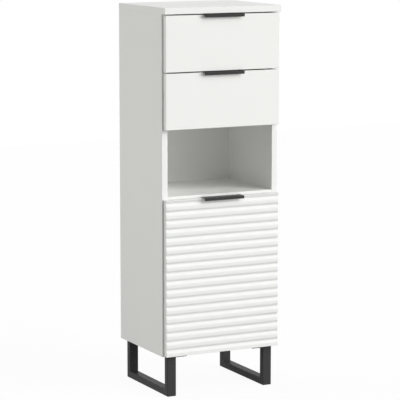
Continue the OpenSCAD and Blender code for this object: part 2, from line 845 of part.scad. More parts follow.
// Cam locks of a drawer with their bolts
module drawer_cams(z) {
    color([0.75, 0.75, 0.76]) pair() for (w = box_cam_ws) {
        translate([box_inner_x, door_back_y + box_cam_reach, z + box_rise + w])
            rotate([90, 0, 0]) rotate([0, -90, 0]) cam_lock(box_cam_d, box_cam_h, box_t / 2);
        translate([box_mid_x, door_back_y, z + box_rise + w]) rotate([0, 0, -90])
            cam_bolt(box_cam_reach);
    }
}

module drawer_screws(z) {
    color([0.7, 0.7, 0.72]) {
        handle_screws(z + drawer_front_h);
        pair() {
            for (w = back_screw_ws)
                translate([box_x, box_end_y - box_t / 2, z + box_rise + w]) rotate([0, -90, 0])
                    sunk_screw(back_screw_d, back_screw_head_d, back_screw_len);
            drawer_rail_screw_places(z)
                sunk_screw(rail_screw_d, rail_screw_head_d, rail_screw_len);
        }
    }
}

module upper_drawer_front() drawer_front(upper_z);

module upper_drawer_side_right() drawer_side(upper_z);

module upper_drawer_side_left() mirror([1, 0, 0]) drawer_side(upper_z);

module upper_drawer_back() drawer_back(upper_z);

module upper_drawer_bottom() drawer_bottom(upper_z);

module upper_drawer_rails() drawer_rails(upper_z);

module upper_drawer_cams() drawer_cams(upper_z);

module upper_drawer_screws() drawer_screws(upper_z);

module upper_handle() handle(upper_z + drawer_front_h);

module lower_drawer_front() drawer_front(lower_z);

module lower_drawer_side_right() drawer_side(lower_z);

module lower_drawer_side_left() mirror([1, 0, 0]) drawer_side(lower_z);

module lower_drawer_back() drawer_back(lower_z);

module lower_drawer_bottom() drawer_bottom(lower_z);

module lower_drawer_rails() drawer_rails(lower_z);

module lower_drawer_cams() drawer_cams(lower_z);

module lower_drawer_screws() drawer_screws(lower_z);

module lower_handle() handle(lower_z + drawer_front_h);

// The milled face of the door: how far it lies behind its crests, for a place between one
// crest and the next below it
wave_pitch = (door_h - 2 * wave_margin) / wave_count;

function wave_drop(s) = s < wave_fall
    ? wave_depth * (1 - cos(180 * s / wave_fall)) / 2
    : wave_depth * (1 - pow((s - wave_fall) / (1 - wave_fall), wave_rise_power));

wave_steps = 5;
wave_places = [
    for (i = [0 : wave_steps - 1]) wave_fall * i / wave_steps,
    for (i = [0 : wave_steps - 1]) wave_fall + (1 - wave_fall) * i / wave_steps
];

module door_profile() {
    waves = [
        for (i = [0 : wave_count - 1])
            for (s = wave_places)
                [face_y + wave_drop(s), door_top - wave_margin - wave_pitch * (i + s)]
    ];
    polygon(concat([[door_back_y, door_z], [door_back_y, door_top], [face_y, door_top]], waves,
        [[face_y, door_z + wave_margin], [face_y, door_z]]));
}

module door_panel() {
    color([0.96, 0.96, 0.95]) difference() {
        profile_x(-front_half_w, front_half_w) door_profile();
        for (z = hinge_zs)
            translate([inner_x, front_y, z]) {
                bar_y([cup_x, -front_clear - cup_depth - 0.2, 0], cup_d + 2 * fit,
                    cup_depth + 0.2 + cut);
                cup_screw_places() sunk_hole(cup_screw_d, cup_screw_d + 2 * cup_flange_t, 11);
            }
        handle_screw_holes(door_top);
    }
}

module door_handle() handle(door_top);

module door_screws() {
    color([0.7, 0.7, 0.72]) {
        handle_screws(door_top);
        for (z = hinge_zs)
            translate([inner_x, front_y, z]) cup_screw_places()
                sunk_screw(cup_screw_d, cup_screw_d + 2 * cup_flange_t, 11);
    }
}

module door_bumpers() {
    bumper_d = 8;
    x = -half_w + panel_t / 2;
    color([0.85, 0.85, 0.85]) for (z = [door_z + 20, door_top - 20])
        bar_y([x, door_back_y, z], bumper_d, front_clear - 0.3);
}

// One concealed hinge, drawn round the middle of its height
module cup_screw_places() {
    for (s = [-1, 1])
        translate([cup_screw_x, cup_flange_t - front_clear, s * cup_screw_z])
            rotate([90, 0, 0]) children();
}

module hinge_cup() {
    rim_y = -front_clear;
    pin_half = cup_pocket_half_w + 1.3;
    difference() {
        union() {
            bar_y([cup_x, rim_y - cup_depth, 0], cup_d, cup_depth);
            bar_y([cup_x, rim_y, 0], cup_flange_d, cup_flange_t);
            block([cup_x - 16, rim_y, -cup_wing_z], [cup_x + 2, rim_y + cup_flange_t, cup_wing_z]);
        }
        intersection() {
            bar_y([cup_x, rim_y - cup_depth + 1, 0], 2 * cup_pocket_r, cup_depth + cut);
            block([cup_x - cup_d, rim_y - cup_depth + 1, -cup_pocket_half_w],
                [cup_x + cup_d, rim_y + cup_flange_t + cut, cup_pocket_half_w]);
        }
        block([cup_x + cup_d / 2 - 3, rim_y - cup_notch_depth, -cup_pocket_half_w],
            [cup_x + cup_d, rim_y + cup_flange_t + cut, cup_pocket_half_w]);
        cup_screw_places() sunk_hole(cup_screw_d, cup_screw_d + 2 * cup_flange_t, 11);
    }
    bar_z([pin_b[0], pin_b[1], -pin_half], hinge_pin_d, 2 * pin_half);
    stub_z = link_core_w / 2 + link_side_gap;
    for (low = [-pin_half, stub_z])
        bar_z([pin_d[0], pin_d[1], low], hinge_pin_d, pin_half - stub_z);
}

module hinge_cup_upper() {
    color([0.8, 0.8, 0.8]) translate([inner_x, front_y, hinge_zs[1]]) hinge_cup();
}

module hinge_cup_lower() {
    color([0.8, 0.8, 0.8]) translate([inner_x, front_y, hinge_zs[0]]) hinge_cup();
}

// A flat bar between two pins, in the plane of the hinge's movement
module link_strip(from, to, width, short) {
    run = to - from;
    translate(from) rotate([0, 0, atan2(run[1], run[0])])
        translate([0, -width / 2]) square([norm(run) - short, width]);
}

module eye(at, r) {
    translate(at) circle(r = r);
}

// A slice of a hinge between two heights, one on each side of its middle
module slice(low, high) {
    translate([0, 0, low]) linear_extrude(high - low) children();
}

module hinge_inner_links() {
    color([0.8, 0.8, 0.8]) for (z = hinge_zs)
        translate([inner_x, front_y, z]) difference() {
            union() {
                slice(-link_core_w / 2, link_core_w / 2) link_strip(pin_a, pin_b, link_bar, 0);
                slice(-link_w / 2, link_w / 2) {
                    eye(pin_a, hinge_eye_r);
                    eye(pin_b, hinge_eye_r);
                }
            }
            slice(-link_w, link_w) {
                eye(pin_a, hinge_pin_d / 2 + fit);
                eye(pin_b, hinge_pin_d / 2 + fit);
            }
        }
}

module hinge_outer_links() {
    side_z = link_core_w / 2 + link_side_gap;
    color([0.8, 0.8, 0.8]) for (z = hinge_zs)
        translate([inner_x, front_y, z]) difference() {
            union() {
                slice(-link_w / 2, -side_z) link_strip(pin_c, pin_d, link_bar, link_open);
                slice(side_z, link_w / 2) link_strip(pin_c, pin_d, link_bar, link_open);
                slice(-link_w / 2, link_w / 2) eye(pin_c, hinge_eye_r);
            }
            slice(-link_w, link_w) eye(pin_c, hinge_pin_d / 2 + fit);
        }
}

// The arm: two cheeks that hold the link pins, joined by a web over the mounting plate
module hinge_arm() {
    web_x = ridge_x - arm_t;
    r = hinge_eye_r;
    difference() {
        union() {
            for (low = [-cheek_out, cheek_in])
                translate([0, 0, low]) linear_extrude(arm_t) {
                    polygon([[pin_a[0] - r, pin_a[1]], [pin_a[0] + r, pin_a[1]],
                        [pin_c[0] + 2 * r, pin_c[1] - r], [ridge_x + 6, arm_y0 + 6],
                        [ridge_x + 6, arm_y1], [web_x, arm_y1], [web_x, arm_y0],
                        [pin_c[0] - r, pin_c[1]]]);
                    eye(pin_a, r);
                    eye(pin_c, r);
                }
            block([web_x, arm_y0, -cheek_out], [ridge_x, arm_y1, cheek_out]);
            for (y = [24, 50]) bar_x([web_x - 1, y, 0], 6, 1 + arm_t);
        }
        for (pin = [pin_a, pin_c])
            bar_z([pin[0], pin[1], -cheek_out - cut], hinge_pin_d + 2 * fit,
                2 * (cheek_out + cut));
        for (y = [24, 50])
            translate([web_x - 1, y, 0]) rotate([0, 90, 0]) cross_recess(3.4, 1.2);
    }
}

module hinge_arm_upper() {
    color([0.8, 0.8, 0.8]) translate([inner_x, front_y, hinge_zs[1]]) hinge_arm();
}

module hinge_arm_lower() {
    color([0.8, 0.8, 0.8]) translate([inner_x, front_y, hinge_zs[0]]) hinge_arm();
}

// Mounting plates on the right side panel
module hinge_plates() {
    color([0.78, 0.78, 0.78]) for (z = hinge_zs)
        translate([inner_x, front_y, z]) difference() {
            union() {
                block([base_x, plate_y0, -plate_half_z], [0, plate_y1, plate_half_z]);
                block([base_x, plate_y - plate_wing_y, -plate_wing_z],
                    [0, plate_y + plate_wing_y, plate_wing_z]);
                block([ridge_x, plate_y0, -ridge_half_w], [base_x, plate_y1, ridge_half_w]);
            }
            plate_screw_places() sunk_hole(plate_screw_d, plate_screw_head_d, plate_screw_len);
        }
}

module plate_screw_places() {
    for (s = [-1, 1])
        translate([base_x, plate_y, s * plate_screw_z]) rotate([0, 90, 0]) children();
}

module hinge_arm_pins() {
    color([0.7, 0.7, 0.72]) for (z = hinge_zs)
        for (pin = [pin_a, pin_c])
            bar_z([inner_x + pin[0], front_y + pin[1], z - cheek_out - 0.3], hinge_pin_d,
                2 * (cheek_out + 0.3));
}

module hinge_plate_screws() {
    color([0.7, 0.7, 0.72]) for (z = hinge_zs)
        translate([inner_x, front_y, z]) plate_screw_places()
            sunk_screw(plate_screw_d, plate_screw_head_d, plate_screw_len);
}

top_plate();
side_panel_left();
side_panel_right();
floor_panel();
divider_panel();
niche_shelf();
back_panel();
inner_shelf();
shelf_pins();
cam_locks();
cam_bolts();
wood_dowels();
leg_frame_left();
leg_frame_right();
leg_screws();
floor_glides();
upper_rail_left();
upper_rail_right();
lower_rail_left();
lower_rail_right();
rail_screws();
upper_front_rollers();
lower_front_rollers();
upper_rear_rollers();
lower_rear_rollers();
upper_drawer_front();
upper_drawer_side_left();
upper_drawer_side_right();
upper_drawer_back();
upper_drawer_bottom();
upper_drawer_rails();
upper_drawer_cams();
upper_drawer_screws();
upper_handle();
lower_drawer_front();
lower_drawer_side_left();
lower_drawer_side_right();
lower_drawer_back();
lower_drawer_bottom();
lower_drawer_rails();
lower_drawer_cams();
lower_drawer_screws();
lower_handle();
door_panel();
door_handle();
door_screws();
door_bumpers();
hinge_cup_upper();
hinge_cup_lower();
hinge_inner_links();
hinge_outer_links();
hinge_arm_upper();
hinge_arm_lower();
hinge_plates();
hinge_arm_pins();
hinge_plate_screws();
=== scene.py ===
# %% [markdown]
# A tall bathroom cabinet in a studio
# The cabinet is a white board carcass on two black sled legs, with two drawers, an open
# compartment and a door whose front is milled into level waves. Its engineered model comes
# first, as a fixed frame of separate nodes. This lesson then makes finer pieces for the faces
# that the eye lands on, gives every node a finish, and lights the whole like a catalogue picture.

import json
import math

import bmesh
import bpy
import numpy as np
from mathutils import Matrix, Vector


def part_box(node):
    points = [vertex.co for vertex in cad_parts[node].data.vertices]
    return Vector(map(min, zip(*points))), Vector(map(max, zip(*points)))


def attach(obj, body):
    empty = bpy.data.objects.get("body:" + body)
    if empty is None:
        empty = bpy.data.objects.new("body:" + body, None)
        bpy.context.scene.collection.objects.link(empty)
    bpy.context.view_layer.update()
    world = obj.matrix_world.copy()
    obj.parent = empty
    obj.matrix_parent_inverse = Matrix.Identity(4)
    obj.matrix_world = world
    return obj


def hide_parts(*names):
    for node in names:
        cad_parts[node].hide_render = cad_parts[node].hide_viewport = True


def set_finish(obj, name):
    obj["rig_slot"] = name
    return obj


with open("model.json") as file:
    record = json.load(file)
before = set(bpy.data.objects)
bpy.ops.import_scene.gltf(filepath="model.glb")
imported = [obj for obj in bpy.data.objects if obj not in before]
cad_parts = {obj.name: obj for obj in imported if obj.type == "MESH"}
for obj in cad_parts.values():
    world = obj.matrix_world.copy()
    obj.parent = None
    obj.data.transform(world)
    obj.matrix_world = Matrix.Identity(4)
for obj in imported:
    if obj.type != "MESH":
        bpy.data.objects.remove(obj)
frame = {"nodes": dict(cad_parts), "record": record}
nodes = frame["nodes"]
body_of_node = {node: body
                for body, members in frame["record"]["behaviour"]["bodies"].items()
                for node in members}
slot_of_node = {part["node"]: part["material_slot"] for part in frame["record"]["subparts"]}
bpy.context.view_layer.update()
MM = 0.001

# %% [markdown]
# An outline with rounded corners
# Boards, handles and tubes all have a flat outline whose corners are broken by a small radius.
# A bevel tool could do it afterwards. Here the outline is worked out with its arcs already in
# it, because the same few lines then serve a bent sheet, a board and a tube.


# %% Round the corners of an outline
def rounded(points, radii, steps=5):
    """A closed outline whose corners are arcs. At each corner the arc's centre lies on the
    bisector, at the radius divided by the sine of half the corner's angle, and the arc turns
    evenly from one side's touching point to the other's."""
    corner = np.asarray(points, float)
    radius = np.broadcast_to(np.asarray(radii, float), len(corner))[:, None]
    back = np.roll(corner, 1, 0) - corner
    on = np.roll(corner, -1, 0) - corner
    back /= np.linalg.norm(back, axis=1, keepdims=True)
    on /= np.linalg.norm(on, axis=1, keepdims=True)
    half = np.arccos(np.clip((back * on).sum(1, keepdims=True), -1, 1)) / 2
    middle = back + on
    middle /= np.linalg.norm(middle, axis=1, keepdims=True)
    centre = corner + middle * radius / np.sin(half)
    first = (corner + back * radius / np.tan(half) - centre)[:, None]
    last = (corner + on * radius / np.tan(half) - centre)[:, None]
    turn = (math.pi - 2 * half)[:, :, None]
    share = np.linspace(0, 1, steps)[None, :, None]
    arc = (np.sin((1 - share) * turn) * first + np.sin(share * turn) * last) / np.sin(turn)
    return (centre[:, None] + arc).reshape(-1, 2)


def rectangle(low, high):
    """The four corners of a rectangle, anticlockwise."""
    return np.array([[low[0], low[1]], [high[0], low[1]], [high[0], high[1]], [low[0], high[1]]])


print("points in a rounded rectangle", len(rounded(rectangle((0, 0), (1, 1)), 0.1)))

# %% [markdown]
# Carrying an outline along a line
# A board's long edges and its ends are both eased. The outline is carried along an axis, and
# near each end it shrinks by a quarter circle, so that the end's rim is as round as the rest.
# A bevelled box would do for a board, but this serves a wavy door and a folded strip as well.


# %% Carry an outline
def inward(outline):
    """Unit directions into a closed anticlockwise outline: each point's neighbours joined by a
    line, turned a quarter turn to the left."""
    along = np.roll(outline, -1, 0) - np.roll(outline, 1, 0)
    normal = np.stack([-along[:, 1], along[:, 0]], 1)
    return normal / np.linalg.norm(normal, axis=1, keepdims=True)


def tube_faces(rows, count):
    """Quads between neighbouring rows of a grid that closes on itself, and a flat cap at
    each end."""
    row, at = np.meshgrid(np.arange(rows - 1) * count, np.arange(count), indexing="ij")
    on = (at + 1) % count
    quads = np.stack([row + at, row + on, row + count + on, row + count + at], -1)
    last = (rows - 1) * count
    return quads.reshape(-1, 4).tolist() + [list(range(count))[::-1],
                                            list(range(last, last + count))]


def carried(outline, start, end, radius, axis=0, steps=4):
    """Points of the outline at each station along an axis. The stations follow a quarter
    circle at both ends, and the outline moves inwards by what that circle falls short."""
    angle = np.linspace(0, math.pi / 2, steps)
    rise = radius * (1 - np.cos(angle))
    fall = radius * (1 - np.sin(angle))
    place = np.concatenate([start + rise, (end - rise)[::-1]])
    inset = np.concatenate([fall, fall[::-1]])
    flat = outline[None] + inset[:, None, None] * inward(outline)[None]
    along = np.broadcast_to(place[:, None], flat.shape[:2])
    grid = np.roll(np.stack([along, flat[..., 0], flat[..., 1]], -1), axis, -1)
    return grid.reshape(-1, 3), tube_faces(len(place), len(outline))


def board(low, high, radius, under=None):
    """A board with all its edges rounded: a rounded rectangle carried along its width. The
    lower front edge may have a radius of its own."""
    outline = rounded(rectangle(low[1:], high[1:]), [under or radius, radius, radius, radius])
    return carried(outline, low[0], high[0], radius)


print("points in a board", len(board((0, 0, 0), (1, 1, 1), 0.1)[0]))

# %% [markdown]
# From points to a piece
# A piece is an object at the origin with its place in its mesh. It rides on one body of the frame,
# hides the node that it stands for and keeps the slot that its finish comes from. Weighted normals
# keep the large faces flat in the light and let only the eased edges turn.


# %% Make a piece
CREASE = 50
BEVEL_SEGMENTS = 3


def mesh_of(name, *parts):
    """One mesh from several lists of points and faces, each list's numbers moved on."""
    points, faces, offset = [], [], 0
    for part_points, part_faces in parts:
        points.append(part_points)
        faces += [[v + offset for v in face] for face in part_faces]
        offset += len(part_points)
    mesh = bpy.data.meshes.new(name)
    mesh.from_pydata(np.concatenate(points).tolist(), [], faces)
    return mesh


def piece(name, mesh, node, sharp=CREASE, bevel=0.0, limit="ANGLE"):
    """An object for the mesh, standing for one node and riding on its body. Edges that turn by
    more than the sharp angle, in degrees, stay creased."""
    obj = bpy.data.objects.new(name, mesh)
    bpy.context.scene.collection.objects.link(obj)
    mesh.shade_smooth()
    mesh.set_sharp_from_angle(angle=math.radians(sharp))
    if bevel:
        ease = obj.modifiers.new("eased_edges", "BEVEL")
        ease.width = bevel
        ease.segments = BEVEL_SEGMENTS
        ease.limit_method = limit
        ease.angle_limit = math.radians(sharp)
    even = obj.modifiers.new("even_light", "WEIGHTED_NORMAL")
    even.keep_sharp = True
    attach(obj, body_of_node[node])
    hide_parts(node)
    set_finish(obj, slot_of_node[node])
    print(name, "stands for", node, "with", len(mesh.polygons), "faces")
    return obj


def span(node):
    """A node's lowest and highest corner as plain arrays, in metres."""
    low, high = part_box(node)
    return np.array(low), np.array(high)


print("door panel from and to", *np.round(span("door_panel"), 4))

# %% [markdown]
# Holes in a new piece
# The door's back has two round pockets for its hinge cups and small holes for screws. They
# could be modelled into the grid. A Boolean is simpler and exact here, and its result is kept
# as a plain mesh, so that no modifier is left to run on it.


# %% Bore a mesh
BORE_SIDES = 64


def bored(mesh, cutters):
    """The mesh less each cutter. A cutter is a closed cylinder: its foot, its axis, its
    diameter and its length."""
    body = bpy.data.objects.new("bored_body", mesh)
    parts = []
    for foot, axis, diameter, length in cutters:
        turn = np.linspace(0, 2 * math.pi, BORE_SIDES, endpoint=False)
        circle = diameter / 2 * np.stack([np.cos(turn), np.sin(turn)], 1)
        foot = np.roll(foot, -axis)
        parts.append(carried(circle + foot[1:], foot[0], foot[0] + length, 0, axis, steps=1))
    tool = bpy.data.objects.new("bored_tool", mesh_of("bored_tool", *parts))
    for obj in (body, tool):
        bpy.context.scene.collection.objects.link(obj)
    cut = body.modifiers.new("bores", "BOOLEAN")
    cut.object = tool
    cut.solver = "EXACT"
    graph = bpy.context.evaluated_depsgraph_get()
    result = bpy.data.meshes.new_from_object(body.evaluated_get(graph))
    for obj in (body, tool):
        bpy.data.objects.remove(obj)
    return result


print("sides of a bore", BORE_SIDES)

# %% [markdown]
# The milled door
# The door is one board whose front is cut into level flutes by a shaped cutter. A narrow crown
# is left between them, and each flute falls and comes out again in a soft curve. A displaced
# plane could show it from the front, but the flutes must also show on the door's edge, so the
# whole section of the door is drawn and carried across its width.

# %% Make the door
door_low, door_high = span("door_panel")
WAVE_COUNT = 18
WAVE_DEPTH = 3.9 * MM
WAVE_MARGIN = 1.8 * MM
WAVE_FALL = 0.33
WAVE_RISE = 0.4
WAVE_CROWN = 0.12
WAVE_STEPS = 22
DOOR_EASE = 0.5 * MM
DOOR_CREASE = 38
wave_pitch = (door_high[2] - door_low[2] - 2 * WAVE_MARGIN) / WAVE_COUNT


def wave_drop(s):
    """How deep the front lies at a share s of one wave, counted down from its crest: half a
    cosine down to the full depth, then half a cosine out again, mixed with a straight rise
    that goes on to the next crest and gives the crown its slight slope."""
    falling = (1 - np.cos(math.pi * s / WAVE_FALL)) / 2
    turn = np.clip((s - WAVE_FALL) / WAVE_RISE, 0, 1)
    straight = 1 - (s - WAVE_FALL) / (1 - WAVE_FALL)
    rising = (1 - WAVE_CROWN) * (1 + np.cos(math.pi * turn)) / 2 + WAVE_CROWN * straight
    return WAVE_DEPTH * np.where(s < WAVE_FALL, falling, rising)


def door_outline(face, back):
    """The door's section, anticlockwise in depth and height: a rounded rectangle whose front
    side is the row of waves, from the top down."""
    corners = rounded(rectangle((face, door_low[2]), (back, door_high[2])), DOOR_EASE)
    count = np.arange(WAVE_COUNT * WAVE_STEPS + 1) / WAVE_STEPS
    share = count % 1
    front = np.stack([face + wave_drop(share), door_high[2] - WAVE_MARGIN - wave_pitch * count], 1)
    return np.concatenate([corners, front])


face_y = span("upper_drawer_front")[0][1]
door_back_y = span("upper_drawer_front")[1][1]
outline = door_outline(face_y, door_back_y)
door_mesh = mesh_of("wave_door", carried(outline, door_low[0], door_high[0], DOOR_EASE))
print("wave pitch in mm", round(wave_pitch / MM, 3), "outline points", len(outline))

# %% [markdown]
# The hinge cup pockets
# A concealed hinge sits in a 35 mm pocket drilled into the door's back, and two small screws
# hold its wings. A dark disc on the surface would look like a pocket from one side only. The
# door opens wide and its back is seen from many sides, so the pockets are really cut.

# %% Drill the door
CUP_D = 35.1 * MM
CUP_DEEP = 11.3 * MM
CUP_SCREW_D = 3.6 * MM
CUP_SCREW_SIDE = 22.5 * MM
CUP_SCREW_BACK = 9.5 * MM
PAST = 1 * MM  # how far a cutter passes a face, so that the cut is clean
cup_x = sum(span("hinge_cup_upper"))[0] / 2
cup_centres = [sum(span(node))[2] / 2 for node in ("hinge_cup_upper", "hinge_cup_lower")]
cup_floor_y = door_back_y - CUP_DEEP
cutters = []
for z in cup_centres:
    cutters.append(((cup_x, cup_floor_y, z), 1, CUP_D, CUP_DEEP + PAST))
    for side in (-CUP_SCREW_SIDE, CUP_SCREW_SIDE):
        cutters.append(((cup_x - CUP_SCREW_BACK, cup_floor_y, z + side), 1,
                        CUP_SCREW_D, CUP_DEEP + PAST))
door = piece("wave_door", bored(door_mesh, cutters), "door_panel", sharp=DOOR_CREASE)
print("hinge cups at x", round(cup_x, 4), "heights", np.round(cup_centres, 4))

# %% [markdown]
# Drawer fronts, top plate and loose shelf
# These are plain boards, but the catalogue look depends on their edges: a lacquered edge is
# eased by about half a millimetre and draws a thin light line round each front. Each is one
# rounded rectangle carried along its length. The lower front edge is rounder than the rest: it
# turns away from the light and draws the gap below it as a darker, softer line.

# %% Make the plain boards
UNDER_EASE = 1.5 * MM
# For each piece its node, the radius of its edges and that of its lower front edge.
BOARD_PIECES = {
    "upper_front_board": ("upper_drawer_front", 0.4 * MM, UNDER_EASE),
    "lower_front_board": ("lower_drawer_front", 0.4 * MM, UNDER_EASE),
    "top_board": ("top_plate", 0.5 * MM, UNDER_EASE),
    "loose_shelf": ("inner_shelf", 0.8 * MM, None),
}
dressed = {"wave_door": door}
for name, (node, radius, under) in BOARD_PIECES.items():
    dressed[name] = piece(name, mesh_of(name, board(*span(node), radius, under)), node)

# %% [markdown]
# Bored boards keep their own mesh
# The sides and the carcass boards carry dozens of drilled holes for cams, dowels and shelf
# pins. Their solids are right already, so a copy is joined up, its flat triangles are melted
# into faces, and only the edges on the board's outer box are eased by a weighted bevel.

# %% Ease a copy of a bored board
NEAR = 5e-6
FLAT_ANGLE = 0.3
BOARD_CREASE = 30


def eased_copy(name, node, width):
    """A joined copy of a node. An edge is eased if both its ends lie on the same two planes
    of the node's box."""
    work = bmesh.new()
    work.from_mesh(nodes[node].data)
    bmesh.ops.remove_doubles(work, verts=work.verts, dist=NEAR)
    bmesh.ops.dissolve_limit(work, angle_limit=math.radians(FLAT_ANGLE), verts=work.verts,
                             edges=work.edges)
    mesh = bpy.data.meshes.new(name)
    work.to_mesh(mesh)
    work.free()
    mesh.materials.clear()
    low, high = span(node)
    place = np.empty(len(mesh.vertices) * 3)
    mesh.vertices.foreach_get("co", place)
    place = place.reshape(-1, 3)
    ends = np.empty(len(mesh.edges) * 2, int)
    mesh.edges.foreach_get("vertices", ends)
    planes = np.concatenate([abs(place - low) < NEAR, abs(place - high) < NEAR], 1)
    shared = planes[ends.reshape(-1, 2)].all(1).sum(1) >= 2
    weight = mesh.attributes.new("bevel_weight_edge", "FLOAT", "EDGE")
    weight.data.foreach_set("value", shared.astype(float))
    return piece(name, mesh, node, sharp=BOARD_CREASE, bevel=width, limit="WEIGHT")


# For each piece its node and the width of its eased edge.
EASED_COPIES = {
    "left_side": ("side_panel_left", 0.8 * MM),
    "right_side": ("side_panel_right", 0.8 * MM),
    "bottom_board": ("floor_panel", 0.6 * MM),
    "middle_board": ("divider_panel", 0.6 * MM),
    "compartment_floor": ("niche_shelf", 0.6 * MM),
}
for name, (node, width) in EASED_COPIES.items():
    dressed[name] = eased_copy(name, node, width)

# %% [markdown]
# Edge pulls of folded sheet
# Each pull is a 1.5 mm steel strip folded over the top edge of a front: a short lip to hold
# in front, and a longer tail screwed on behind. A folded plane could be thickened by a
# modifier. Here the fold's section is one outline whose corners have an outer and an inner
# radius, carried across the pull's width, so that each bend has the metal's own two radii.

# %% Fold the pulls
SHEET = 1.5 * MM
LIP = 9.5 * MM
BEND = 2.2 * MM
TIP = 0.5 * MM
PULL_INNER_EDGE = 0.2 * MM
PULL_CREASE = 35
SCREW_HEAD_D = 6.0 * MM
SCREW_FROM_END = 20 * MM
SCREW_DOWN = 14 * MM


def pull_outline(low, high):
    """The folded strip's section in depth and height, anticlockwise: the outside of the fold
    in larger arcs and the inside in smaller ones."""
    y0, z0 = low[1:]
    y1, z1 = high[1:]
    corners = [(y1 - SHEET, z0), (y1, z0), (y1, z1), (y0, z1), (y0, z1 - LIP),
               (y0 + SHEET, z1 - LIP), (y0 + SHEET, z1 - SHEET), (y1 - SHEET, z1 - SHEET)]
    radii = [TIP, TIP, BEND, BEND, TIP, TIP, BEND - SHEET, PULL_INNER_EDGE]
    return rounded(corners, radii, steps=6)


def folded_pull(name, node):
    """A pull, bored where its two screws sit."""
    low, high = span(node)
    strip = mesh_of(name, carried(pull_outline(low, high), low[0], high[0], TIP))
    screws = [((x, high[1] - SHEET - PAST, high[2] - SHEET - SCREW_DOWN), 1, SCREW_HEAD_D,
               SHEET + 2 * PAST) for x in (low[0] + SCREW_FROM_END, high[0] - SCREW_FROM_END)]
    return piece(name, bored(strip, screws), node, sharp=PULL_CREASE)


for name, node in (("upper_pull", "upper_handle"), ("lower_pull", "lower_handle"),
                   ("door_pull", "door_handle")):
    dressed[name] = folded_pull(name, node)

# %% [markdown]
# Sled legs of rectangular tube
# A leg is one tube mitred at two corners and welded under two plates. The tube's section has
# round edges from the mill. A curve with a profile would round the corners off. Carrying the
# section round the path, with each corner's station widened along the mitre, keeps both flats
# in plane, as a saw and a weld do.

# %% Make the sled legs
TUBE_WIDE = 30 * MM
TUBE_DEEP = 21 * MM
TUBE_EDGE = 2.0 * MM
PLATE_T = 5 * MM
PLATE_EDGE = 0.8 * MM
LEG_EASE = 0.7 * MM
LEG_CREASE = 60


def sled(path, x0, x1, half, edge):
    """A tube carried along a path in depth and height. At a bend the section's outward offset
    runs along the two sides' mean outward direction, divided by one plus their product."""
    section = rounded(rectangle((x0, -half), (x1, half)), edge)
    step = np.diff(path, axis=0)
    step /= np.linalg.norm(step, axis=1, keepdims=True)
    out = np.stack([step[:, 1], -step[:, 0]], 1)
    before = np.concatenate([out[:1], out])
    after = np.concatenate([out, out[-1:]])
    mitre = (before + after) / (1 + (before * after).sum(1, keepdims=True))
    place = path[:, None] + section[None, :, 1:] * mitre[:, None]
    across = np.broadcast_to(section[None, :, 0], place.shape[:2])
    grid = np.concatenate([across[..., None], place], -1)
    return grid.reshape(-1, 3), tube_faces(len(path), len(section))


def sled_leg(name, node):
    """The mitred tube and the two plates that it hangs from."""
    low, high = span(node)
    right = high[0] > 0
    x0, x1 = (high[0] - TUBE_WIDE, high[0]) if right else (low[0], low[0] + TUBE_WIDE)
    half = TUBE_DEEP / 2
    plate_z = high[2] - PLATE_T
    front, rear, foot = low[1] + half, high[1] - half, low[2] + half
    path = np.array([(front, plate_z), (front, foot), (rear, foot), (rear, plate_z)])
    parts = [sled(path, x0, x1, half, TUBE_EDGE)]
    for y in (front, rear):
        parts.append(board((low[0], y - half, plate_z), (high[0], y + half, high[2]), PLATE_EDGE))
    return piece(name, mesh_of(name, *parts), node, sharp=LEG_CREASE, bevel=LEG_EASE)


for name, node in (("left_sled", "leg_frame_left"), ("right_sled", "leg_frame_right")):
    dressed[name] = sled_leg(name, node)

# %% [markdown]
# Shader groups
# Painted board, powder coat and plated steel differ in scale and gloss, but each is a base
# colour with a faint broad cloud, a fine skin and a roughness that wanders a little. Pictures
# of real surfaces could give that, but noise needs no file and never shows a seam. One group
# holds the recipe for coats and one holds rolled metal and wood. A group only puts out
# colours, values and a height; the shader stays in each material.

# %% Start a node group
COLOUR = "NodeSocketColor"
VALUE = "NodeSocketFloat"
VECTOR = "NodeSocketVector"
NOISE_MIDDLE = 0.5


def open_group(name, inputs, outputs):
    """An empty node group with named sockets, and its input and output nodes."""
    group = bpy.data.node_groups.new(name, "ShaderNodeTree")
    for label, kind in inputs:
        group.interface.new_socket(label, in_out="INPUT", socket_type=kind)
    for label, kind in outputs:
        group.interface.new_socket(label, in_out="OUTPUT", socket_type=kind)
    return group, group.nodes.new("NodeGroupInput"), group.nodes.new("NodeGroupOutput")


def link(tree, source, target):
    """Joins an output socket to an input socket."""
    tree.links.new(source, target)


def noise(tree, vector, scale, detail):
    """A noise texture's value, from 0 to 1."""
    node = tree.nodes.new("ShaderNodeTexNoise")
    node.inputs["Detail"].default_value = detail
    link(tree, vector, node.inputs["Vector"])
    link(tree, scale, node.inputs["Scale"])
    return node.outputs["Fac"]


def math_node(tree, operation, a, b, c=None):
    """A math node on sockets or numbers."""
    node = tree.nodes.new("ShaderNodeMath")
    node.operation = operation
    for socket, value in zip(node.inputs, (a, b, c)):
        if isinstance(value, bpy.types.NodeSocket):
            link(tree, value, socket)
        elif value is not None:
            socket.default_value = value
    return node.outputs[0]


def swung(tree, source, amount, base):
    """The base plus the amount times how far a noise's value lies from its middle."""
    apart = math_node(tree, "SUBTRACT", source, NOISE_MIDDLE)
    return math_node(tree, "MULTIPLY_ADD", apart, amount, base)


def shaded(tree, colour, amount):
    """A colour times a value."""
    node = tree.nodes.new("ShaderNodeVectorMath")
    node.operation = "SCALE"
    link(tree, colour, node.inputs[0])
    link(tree, amount, node.inputs["Scale"])
    return node.outputs[0]


print("kinds of socket", COLOUR, VALUE, VECTOR)

# %% [markdown]
# The coat group
# Sprayed lacquer is not a mirror plane: it has a faint orange peel some millimetres wide and
# a much finer grain. Powder coat has the same two, only coarser and stronger.

